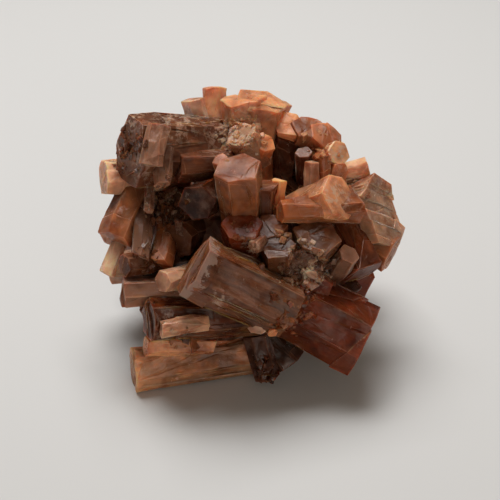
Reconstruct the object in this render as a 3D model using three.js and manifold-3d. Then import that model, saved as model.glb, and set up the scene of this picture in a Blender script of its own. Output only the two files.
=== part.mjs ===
// Aragonite "sputnik" cluster: short, fat, six-sided twin crystals that grew outward from one
// middle until they met, so the whole cluster is one solid. Millimetres, +Z up. It rests on
// z = 0 on the flattened spots of its lowest crystals, and the origin is under the middle of
// its box.
//
// The crystals are laid out in the cluster's front frame: x to the right, y up the face and z
// straight out of it. One turn about x then leans that frame back until the cluster rests.

import * as THREE from 'three';
import { ConvexGeometry } from 'three/addons/geometries/ConvexGeometry.js';
import { mergeVertices } from 'three/addons/utils/BufferGeometryUtils.js';
import Module from 'manifold-3d';

// ---------------------------------------------------------------- driving dimensions
const FRONT_ELEVATION = 33; // degrees from level up to the line that looks straight at the face
const FLOOR_DROP = 23.1; // the table lies this far below the front frame's origin
const TABLE_BLOCK = 200; // side of the block that stands for the table

const HEART_CENTRE = [-1, 1, -8]; // the grown-together middle, in the front frame
const HEART_RADII = [18.5, 16, 15];
const HEART_FACETS = 26; // corners of the middle's rough hull
const HEART_ROUGHNESS = 0.16; // how far a corner of it strays, as a share of the radius

const CORNER_TURN = 14; // degrees over which a prism's corners stray
const CORNER_REACH = 0.94; // smallest reach of a corner, as a share of the half width
const CORNER_REACH_SPREAD = 0.14;
const SLAB_OVERLAP = 0.16; // neighbouring twin slabs share this much, so that they join
const SLAB_SPREAD = 0.7; // how far a cut between slabs strays, as a share of a slab
const SLAB_TURN = 0.3; // radians over which the cuts' direction strays
const SIDE_STEP = 0.05; // how far a slab slides sideways, in crystal widths
const END_STEP = 0.06; // how far a slab stops short at the tip, in crystal widths
const END_SLOPE = 0.26; // how steeply a broken end may slope

const COLOUR = 0x9a6a50; // brown to orange aragonite
const ROUGHNESS = 0.45;

// One row for each crystal: name, middle of its tip, heading in the face (0 is right, 90 is up),
// lean toward the front, width, depth, length, roll, root width as a share of the tip's, and
// the number of twin slabs. Lengths in millimetres and angles in degrees.
const CRYSTALS = [
  // upper left
  ['roof_prism', [-23.9, 18.8, 9], 185, 30, 16, 14, 27, 10, 0.72, 1],
  ['pale_shoulder', [-29.1, 14.1, 3], 184, 26, 8, 7.4, 18, 20, 0.95, 1],
  ['amber_left', [-26.8, 1.4, 4], 250, 18, 8, 7.4, 18, 0, 1, 1],
  ['amber_tip', [-28.2, -4.7, 4], 250, 10, 3.2, 3, 10, 0, 0.95, 1],
  ['blade_left', [-21.5, -2.3, 9], 268, 34, 4.4, 4.8, 14, 20, 1, 1],
  ['sliver_left', [-19.9, 7.3, 10], 268, 30, 2.2, 2.8, 10, 0, 0.95, 1],
  ['step_left', [-17.6, -3.1, 7], 262, 36, 6, 6, 14, 10, 1, 1],
  // left side
  ['block_left', [-25.1, -7.8, 8], 182, 14, 6.2, 6.4, 22, 0, 0.95, 2],
  ['knob_left', [-24.6, -3.1, 10], 188, 34, 4.2, 4, 12, 0, 0.95, 1],
  ['cube_left', [-16.8, -6.3, 13], 195, 46, 4.6, 4.6, 12, 10, 1, 1],
  ['long_left', [-19.8, -13.5, 11], 180, 22, 8, 8, 28, 0, 0.95, 2],
  ['long_left_knob', [-17.1, -15.1, 14.2], 188, 20, 3.6, 3.6, 10, 0, 0.95, 1],
  ['foot_left', [-23.5, -24.1, 1.5], 188, 11, 9.6, 8.8, 28, 0, 1, 2],
  ['foot_left_lip', [-20.8, -19.1, 5], 180, 14, 4.4, 4.4, 14, 0, 1, 1],
  // centre
  ['great_prism', [-11.1, -2.5, 17], 154, 17, 12.8, 12, 22, 6, 0.95, 3],
  ['front_tower', [-2.5, 15.5, 17], 96, 44, 10, 9.4, 20, 10, 0.85, 1],
  ['front_low', [-1.3, 5, 14], 95, 50, 8.4, 7.6, 12, 0, 1, 1],
  ['tower_step', [-6, 17.9, 12], 110, 40, 3.2, 3.2, 10, 0, 0.95, 1],
  ['tower_column', [2.9, 12.7, 12], 90, 34, 5.4, 5.4, 16, 0, 1, 1],
  ['tower_square', [5.6, 13.5, 10.5], 90, 16, 3.6, 3.6, 11, 30, 1, 1],
  ['tower_grey', [8, 9.9, 9], 92, 30, 3, 3, 12, 0, 1, 1],
  ['dark_end', [-10.2, 9, 12], 212, 62, 7.4, 8, 16, 10, 0.95, 1],
  ['brown_block', [3.8, 4.6, 13], 95, 50, 6.8, 6.4, 12, 0, 1, 1],
  // top
  ['gold_tall', [-7.1, 33, -4], 92, 6, 5.2, 4.8, 15, 0, 0.95, 1],
  ['gold_left', [-11.3, 30.7, -3], 108, 12, 6, 5.6, 13, 0, 1, 1],
  ['crown_left', [-1.4, 30.3, 1], 98, 20, 10.2, 9.6, 17, 0, 1, 1],
  ['crown_right', [2.2, 30.1, 1], 82, 34, 10.4, 10, 13, 20, 1, 1],
  ['crown_knob', [6.3, 30.1, -3], 66, 10, 4.8, 4.6, 12, 0, 1, 1],
  ['crown_front', [-1.9, 23, 8], 120, 46, 7.6, 7, 9, 0, 1, 1],
  ['ridge_first', [8, 25.7, 1], 84, 56, 7.4, 6.6, 12, 0, 1, 1],
  ['ridge_second', [11.7, 25, 1.8], 68, 56, 7.6, 6.4, 12, 10, 1, 1],
  ['ridge_third', [15.3, 23, 2.2], 48, 54, 7.4, 6.6, 12, 0, 1, 1],
  ['fan_upper', [17.7, 19.3, 5], 20, 56, 5.6, 5, 10, 0, 1, 1],
  ['fan_lower', [17.9, 15.1, 5], 340, 56, 4.8, 4.4, 10, 0, 1, 1],
  ['fan_knob', [23.6, 16.5, -2], 16, 10, 5.4, 5, 14, 0, 1, 1],
  ['twin_left', [11.9, 17.4, 7], 92, 12, 3.2, 3.4, 10, 30, 1, 1],
  ['twin_right', [14.3, 19.2, 6], 90, 12, 3.8, 3.8, 11, 30, 1, 1],
  ['twin_back', [10.7, 19.5, 4], 96, 50, 3.8, 3.2, 9, 0, 1, 1],
  // right side
  ['bright_point', [5.7, 7.1, 13.5], 188, 20, 4.4, 4.8, 16, 0, 1.9, 1],
  ['bright_block', [17.3, 10.4, 12], 22, 40, 9.8, 9, 18, 0, 0.85, 1],
  ['wheel_outer', [27.2, 7.7, 2], 12, 38, 16.4, 13.8, 24, 8, 0.8, 2],
  ['wheel_lobe', [28.2, -1, 0], 328, 14, 7.8, 7.4, 20, 0, 1, 1],
  ['dark_right', [21.7, -5.1, 4], 296, 14, 11.4, 9.2, 15, 28, 1, 1],
  ['cube_right', [18.8, -0.8, 12], 60, 58, 4.6, 4.4, 12, 15, 1, 1],
  // low on the right
  ['grey_block', [5.5, 0.8, 15], 92, 56, 7.4, 6.6, 12, 0, 1, 1],
  ['grey_round', [13, 2.7, 13.5], 80, 62, 9.8, 7.8, 14, 0, 1, 1],
  ['grey_low', [9.6, -3.1, 13], 268, 70, 8.6, 6.8, 12, 0, 1, 1],
  ['white_low', [11.7, -5.4, 13], 270, 52, 3.6, 3.6, 10, 30, 1, 1],
  ['red_prism', [22.7, -17.8, 6], 332, -2, 15.6, 13.6, 27, 0, 0.94, 1],
  ['red_lip', [22.8, -11.2, 5], 333, 4, 4, 5, 22, 0, 0.95, 1],
  ['red_knob', [18.2, -10.7, 9], 330, 40, 1.8, 1.8, 6, 0, 0.95, 1],
  // feet
  ['foot_front', [3.6, -25.6, 0], 284, -8, 5.6, 5.2, 9, 0, 0.95, 1],
  ['foot_dark', [7.9, -23.4, -3], 304, 0, 7.4, 6.6, 16, 0, 0.95, 1],
  // small ends low on the front
  ['glint', [0.4, 0.4, 16], 210, 44, 3, 3, 8, 0, 0.95, 1],
  ['knob_low_a', [1.3, -15.3, 13], 262, 50, 3.6, 3.2, 9, 0, 1, 1],
  ['knob_low_b', [4.2, -16.1, 13], 275, 40, 2.6, 2.6, 8, 0, 0.95, 1],
  ['rusty_front', [12.7, -7.7, 12], 285, 66, 6.8, 6.6, 12, 0, 1, 1],
  // wide ends that fill the middle
  ['mass_middle', [4.7, 1.9, 9], 90, 80, 15, 13, 14, 20, 1, 1],
  ['mass_right', [13.2, -2.3, 8], 320, 70, 12, 11, 14, 0, 1, 1],
  // plates broken off the upper left prism
  ['roof_plate', [-18.7, 15.8, 14.4], 262, 10, 5.4, 2.6, 8.4, 0, 0.9, 1],
  ['roof_plate_low', [-16.9, 12.1, 12], 268, 20, 4, 2.6, 8, 0, 1.1, 1],
  ['roof_slab', [-14.2, 16, 8.2], 187, 22, 6.6, 6, 16, 0, 1, 1],
  // crystals in the hollows, and behind the gaps
  ['hollow_upper', [-15.4, 8.9, 3], 168, 50, 8.4, 8, 16, 0, 1, 1],
  ['hollow_lower', [-14.1, 2, 6], 205, 56, 7.4, 7, 16, 20, 1, 1],
  ['hollow_side', [-19.1, 7.2, 1], 172, 30, 9.4, 9, 16, 0, 1, 1],
  ['crown_lobe', [3.1, 21.2, 6], 60, 50, 5, 5, 12, 0, 1, 1],
  ['cave_floor', [9.7, 14.1, -3], 60, 60, 9, 8.6, 10, 0, 1, 1],
  ['cave_side', [8.2, 23, -0.5], 80, 30, 7, 6, 12, 0, 1, 1],
  ['cave_right', [17.4, 14.7, 3], 40, 36, 6.4, 6, 14, 0, 1, 1],
  ['hollow_low', [-12.7, -18.6, 3], 192, 26, 6, 6, 16, 0, 0.95, 1],
  ['hollow_right', [18.7, 4.3, 4], 20, 40, 8, 8, 14, 0, 0.95, 1],
  ['fill_upper', [-22.6, 9.5, -3], 160, 4, 11, 10, 20, 0, 1, 1],
  ['fill_middle', [-22.6, -7.2, 2], 196, 2, 8.6, 9, 20, 0, 1, 1],
  ['fill_lower', [-20.3, -17.9, 2], 192, 4, 8, 8.4, 20, 0, 1, 1],
  ['fill_right', [20.4, -10, 0], 318, 4, 8, 8, 18, 0, 1, 1],
  // rear
  ['rear_great', [16.1, 7.5, -27.7], 22, -50, 16.6, 15.2, 22, 8, 1, 2],
  ['rear_upper', [-7.5, 19.6, -25.1], 112, -42, 14, 13, 22, 0, 1, 2],
  ['rear_left', [-22.4, 4.2, -23.5], 172, -36, 15, 13.6, 22, 12, 1, 1],
  ['rear_middle', [-6.3, -0.8, -33.2], 196, -76, 14.6, 14, 20, 0, 1, 1],
  ['rear_right', [23.5, -6.6, -21.2], 342, -30, 12.6, 12, 22, 20, 1, 1],
  ['rear_foot', [7.9, -7.8, -27.4], 312, -60, 13.6, 12.4, 20, 0, 1, 1],
  ['rear_low', [-10.5, -9.9, -25.1], 226, -50, 13, 12, 20, 5, 1, 1],
  // edge of the rear, and underneath
  ['side_right', [27.2, 6.8, -18.2], 12, -22, 8.2, 7.6, 20, 0, 1, 1],
  ['side_left', [-29.1, -4.1, -12.2], 190, -10, 7.4, 7.2, 20, 10, 1, 1],
  ['crown_rear', [5.8, 24.3, -23.2], 76, -34, 9.6, 9, 20, 0, 1, 1],
  ['crown_side', [18.2, 21.3, -16.9], 48, -20, 7, 7, 18, 0, 1, 1],
  ['ridge_left', [-6.2, 27.9, -14.4], 103, -15, 8.6, 8, 18, 0, 0.9, 1],
  ['ridge_right', [6.6, 27.4, -13.8], 76, -14, 9.6, 8.8, 18, 0, 0.95, 2],
  ['back_high', [1.9, 11.8, -31.7], 80, -66, 10.4, 10, 18, 0, 1, 1],
  ['back_left', [-10.5, 8.1, -30.8], 146, -62, 9.4, 9, 18, 0, 1, 1],
  ['back_right', [9.6, -0.4, -31.1], 352, -68, 9, 8.6, 18, 0, 1, 1],
  ['low_left', [-21.5, -13.5, -17.5], 214, -22, 8, 7.6, 20, 0, 1, 1],
  ['low_right', [20.5, -13.9, -14.7], 324, -17, 7.6, 7.2, 20, 0, 1, 1],
  ['under_front', [-2.6, -17.8, -13.2], 262, -18, 7, 7, 14, 0, 1, 1],
  ['under_middle', [0.4, -11.8, -22.3], 272, -50, 8.6, 8.2, 14, 0, 1, 1],
  ['under_rear', [-0.7, -4.1, -31.5], 262, -78, 8.8, 8.2, 16, 0, 1, 1],
  ['shoulder_rear', [-18.7, 20.3, -17.9], 134, -22, 7.2, 7, 18, 0, 1, 1],
];

// ---------------------------------------------------------------- helpers
const radians = THREE.MathUtils.degToRad;

// A repeatable value from 0 to 1 for two whole numbers.
function chance(a, b) {
  const wave = Math.sin(a * 12.9898 + b * 78.233) * 43758.5453;
  return wave - Math.floor(wave);
}

// The same, from -0.5 to 0.5.
const stray = (a, b) => chance(a, b) - 0.5;

// Direction number `index` of `count` spread evenly over a ball.
function spiralDirection(index, count) {
  const rise = 1 - (2 * (index + 0.5)) / count;
  const turn = index * Math.PI * (3 - Math.sqrt(5));
  const level = Math.sqrt(1 - rise * rise);
  return new THREE.Vector3(Math.cos(turn) * level, Math.sin(turn) * level, rise);
}

// A crystal's outline across its axis: six corners that stray a little from a hexagon.
function sixCorners(seed, wide, deep, roll) {
  return Array.from({ length: 6 }, (_, corner) => {
    const angle = radians(60 * corner + stray(seed, corner + 40) * CORNER_TURN + roll);
    const reach = CORNER_REACH + CORNER_REACH_SPREAD * chance(seed, corner + 50);
    const x = (wide / 2) * reach * Math.cos(angle);
    return new THREE.Vector2(x, (deep / 2) * reach * Math.sin(angle));
  });
}

// The part of a convex outline that lies on the low side of a straight cut.
function keepBelow(outline, normal, limit) {
  const kept = [];
  outline.forEach((here, index) => {
    const next = outline[(index + 1) % outline.length];
    const a = here.dot(normal) - limit;
    const b = next.dot(normal) - limit;
    if (a <= 0) kept.push(here);
    if (a < 0 !== b < 0) kept.push(here.clone().lerp(next, a / (a - b)));
  });
  return kept;
}

// How an end slopes across the outline, as rise over run.
function endSlope(seed, index) {
  const slope = new THREE.Vector2(stray(seed, index + 60), stray(seed, index + 70));
  return slope.multiplyScalar(END_SLOPE);
}

// Splits an outline into parallel twin slabs, each with its own side step, end drop and slope.
function twinSlabs(seed, wide, deep, roll, count) {
  const outline = sixCorners(seed, wide, deep, roll);
  if (count === 1) return [{ outline, drop: 0, slope: endSlope(seed, 0) }];
  const face = Math.floor(chance(seed, 1) * 3);
  const angle = radians(60 * face + 30 + roll) + stray(seed, 2) * SLAB_TURN;
  const normal = new THREE.Vector2(Math.cos(angle), Math.sin(angle));
  const sideways = new THREE.Vector2(-normal.y, normal.x);
  const reach = Math.max(...outline.map((corner) => Math.abs(corner.dot(normal))));
  const cutAt = (index) => {
    if (index === 0) return -2 * reach;
    if (index === count) return 2 * reach;
    return reach * (-1 + (2 * index + stray(seed, index + 4) * SLAB_SPREAD) / count);
  };
  const slabs = Array.from({ length: count }, (_, index) => {
    const upper = cutAt(index + 1) + SLAB_OVERLAP / 2;
    const lower = cutAt(index) - SLAB_OVERLAP / 2;
    const below = keepBelow(outline, normal, upper);
    const slab = keepBelow(below, normal.clone().negate(), -lower);
    const step = stray(seed, index + 30) * SIDE_STEP * wide;
    return {
      outline: slab.map((corner) => corner.clone().addScaledVector(sideways, step)),
      drop: chance(seed, index + 20) * END_STEP * wide,
      slope: endSlope(seed, index),
    };
  });
  return slabs.filter((slab) => slab.outline.length >= 3);
}

// The unit vectors across, over and along a crystal that points the given way.
function crystalAxes(along) {
  const across = new THREE.Vector3(-along.y, along.x, 0).normalize();
  return { across, over: new THREE.Vector3().crossVectors(along, across) };
}

// ---------------------------------------------------------------- solids
const wasm = await Module();
wasm.setup();

// Turns closed three.js geometry into a solid that can be joined and cut.
function solidFrom(geometry) {
  const bare = geometry.clone();
  bare.deleteAttribute('normal');
  bare.deleteAttribute('uv');
  const merged = mergeVertices(bare, 1e-4);
  const vertProperties = new Float32Array(merged.attributes.position.array);
  const triVerts = new Uint32Array(merged.index.array);
  return new wasm.Manifold(new wasm.Mesh({ numProp: 3, vertProperties, triVerts }));
}

// Joins solids pair by pair, so that no join carries the whole cluster until the last.
function joined(solids) {
  if (solids.length === 1) return solids[0];
  const half = Math.ceil(solids.length / 2);
  return joined(solids.slice(0, half)).add(joined(solids.slice(half)));
}

// One crystal: its twin slabs, each the hull of a tip outline and a root outline.
function crystalSolid({ seed, tip, along, wide, deep, long, roll, root, slabs }) {
  const { across, over } = crystalAxes(along);
  const place = (corner, below) => {
    const scale = 1 + ((root - 1) * below) / long;
    return tip
      .clone()
      .addScaledVector(along, -below)
      .addScaledVector(across, corner.x * scale)
      .addScaledVector(over, corner.y * scale);
  };
  const hulls = twinSlabs(seed, wide, deep, roll, slabs).map(({ outline, drop, slope }) => {
    const top = outline.map((corner) => place(corner, drop + corner.dot(slope)));
    const bottom = outline.map((corner) => place(corner, long));
    return solidFrom(new ConvexGeometry([...top, ...bottom]));
  });
  return joined(hulls);
}

// The crystals of the list, pointing where their heading and lean say.
function listedCrystals() {
  return CRYSTALS.map(([, tip, heading, lean, wide, deep, long, roll, root, slabs], index) => {
    const out = Math.sin(radians(lean));
    const level = Math.cos(radians(lean));
    const turn = radians(heading);
    const along = new THREE.Vector3(Math.cos(turn) * level, Math.sin(turn) * level, out);
    const place = new THREE.Vector3(...tip);
    return crystalSolid({
      seed: index + 1, tip: place, along, wide, deep, long, roll, root, slabs,
    });
  });
}

// The rough hull of the grown-together middle.
function heart() {
  const centre = new THREE.Vector3(...HEART_CENTRE);
  const radii = new THREE.Vector3(...HEART_RADII);
  const corners = Array.from({ length: HEART_FACETS }, (_, index) => {
    const reach = 1 + stray(index, 7) * HEART_ROUGHNESS;
    return spiralDirection(index, HEART_FACETS).multiply(radii).multiplyScalar(reach).add(centre);
  });
  return solidFrom(new ConvexGeometry(corners));
}

// A block that fills everything below the table.
function belowTable(size) {
  const block = new THREE.BoxGeometry(size, size, size);
  return solidFrom(block.translate(0, 0, -size / 2));
}

// The solid inside the outermost skin, so that pockets the crystals closed off are filled.
function withoutPockets(solid) {
  const skins = solid.decompose();
  return skins.reduce((kept, skin) => (skin.volume() > kept.volume() ? skin : kept));
}

// ---------------------------------------------------------------- the cluster
const grown = joined([heart(), ...listedCrystals()])
  .rotate([90 - FRONT_ELEVATION, 0, 0])
  .translate([0, 0, FLOOR_DROP])
  .subtract(belowTable(TABLE_BLOCK));
const cluster = withoutPockets(grown);

const faces = cluster.getMesh();
const shared = new THREE.BufferGeometry();
shared.setAttribute('position', new THREE.BufferAttribute(faces.vertProperties, 3));
shared.setIndex(new THREE.BufferAttribute(faces.triVerts, 1));
const geometry = shared.toNonIndexed(); // no two facets share a normal
geometry.computeBoundingBox();
const middle = geometry.boundingBox.getCenter(new THREE.Vector3());
geometry.translate(-middle.x, -middle.y, 0);
geometry.computeVertexNormals();

const material = new THREE.MeshStandardMaterial({
  color: COLOUR, roughness: ROUGHNESS, metalness: 0, flatShading: true,
});
const crystals = new THREE.Mesh(geometry, material);
crystals.name = 'crystal_cluster';

const part = new THREE.Group();
part.add(crystals);

export default part;
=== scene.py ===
"""Looks for the aragonite sputnik cluster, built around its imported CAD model.

The crystals are the ones that the CAD model is made of, from the same list, but each is a core
with broken outer plates and worn edges, and the twinned ones are split into laminae. All of them
are joined into one closed skin. A second mesh holds the small crystals that crust the hollows.
"""

import math
from collections import namedtuple

import bmesh
import bpy
import numpy as np
from mathutils import Matrix, Vector
from mathutils.bvhtree import BVHTree


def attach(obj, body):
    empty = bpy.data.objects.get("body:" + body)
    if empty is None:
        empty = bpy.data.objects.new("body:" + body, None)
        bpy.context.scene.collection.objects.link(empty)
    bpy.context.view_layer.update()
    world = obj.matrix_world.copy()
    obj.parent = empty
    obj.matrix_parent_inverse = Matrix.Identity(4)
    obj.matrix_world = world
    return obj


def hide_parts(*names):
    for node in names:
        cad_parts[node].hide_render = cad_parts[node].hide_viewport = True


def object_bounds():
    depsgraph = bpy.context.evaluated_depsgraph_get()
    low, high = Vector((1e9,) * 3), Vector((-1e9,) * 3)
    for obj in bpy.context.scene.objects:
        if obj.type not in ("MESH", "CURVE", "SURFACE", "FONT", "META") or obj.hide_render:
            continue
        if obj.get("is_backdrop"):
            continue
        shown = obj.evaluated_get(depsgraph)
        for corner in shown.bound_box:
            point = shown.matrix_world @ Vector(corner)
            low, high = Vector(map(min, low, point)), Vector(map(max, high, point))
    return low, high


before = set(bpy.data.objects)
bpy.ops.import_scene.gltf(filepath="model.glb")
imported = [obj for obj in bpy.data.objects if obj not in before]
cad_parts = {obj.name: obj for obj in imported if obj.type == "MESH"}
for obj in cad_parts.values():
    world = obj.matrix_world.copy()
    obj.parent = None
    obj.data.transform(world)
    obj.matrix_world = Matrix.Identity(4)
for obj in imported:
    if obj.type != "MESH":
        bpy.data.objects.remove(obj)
cad_low, cad_high = (np.array(corner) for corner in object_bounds())

MM = 0.001
GAP = 0.3 * MM  # the small crystals are set at least this far inside the CAD model's box
MARGIN = 0.02 * MM  # and the unevenness moves nothing nearer to its sides than this

# ---------- the cluster, in millimetres
# The front frame: x to the right, y up the face and z straight out of it.
FRONT_ELEVATION = 33  # degrees from level up to the line that looks straight at the face
FLOOR_DROP = 23.1  # the table lies this far below the front frame's origin

# The rough middle that the crystals stand on.
HEART_CENTRE = np.array([-1.0, 1.0, -8.0])
HEART_RADII = np.array([18.5, 16.0, 15.0])
HEART_CORNERS = 26
HEART_ROUGHNESS = 0.16  # span of their reach, as a share of the radii
HEART_CUTS = 5  # in each edge, for the pits
HEART_PITS = ((2.6, 1.0), (1.1, 0.35))  # width and depth

# How far the crystals are from even. What strays is given as its whole span.
CORNER_TURN = 14  # degrees that a corner of the outline strays
CORNER_REACH = 0.94  # least reach of a corner, in half widths
CORNER_REACH_SPREAD = 0.14  # and how much more it may be
SLAB_OVERLAP = 0.16  # twin slabs reach this far into each other
SLAB_SPREAD = 0.7  # how uneven their thicknesses are
SLAB_TURN = 0.3  # radians that the cuts between them stray
SIDE_STEP = 0.05  # steps between their sides, in crystal widths
END_STEP = 0.06  # steps between their ends, in crystal widths
END_SLOPE = 0.26  # slope of an end, as rise over run

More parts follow.
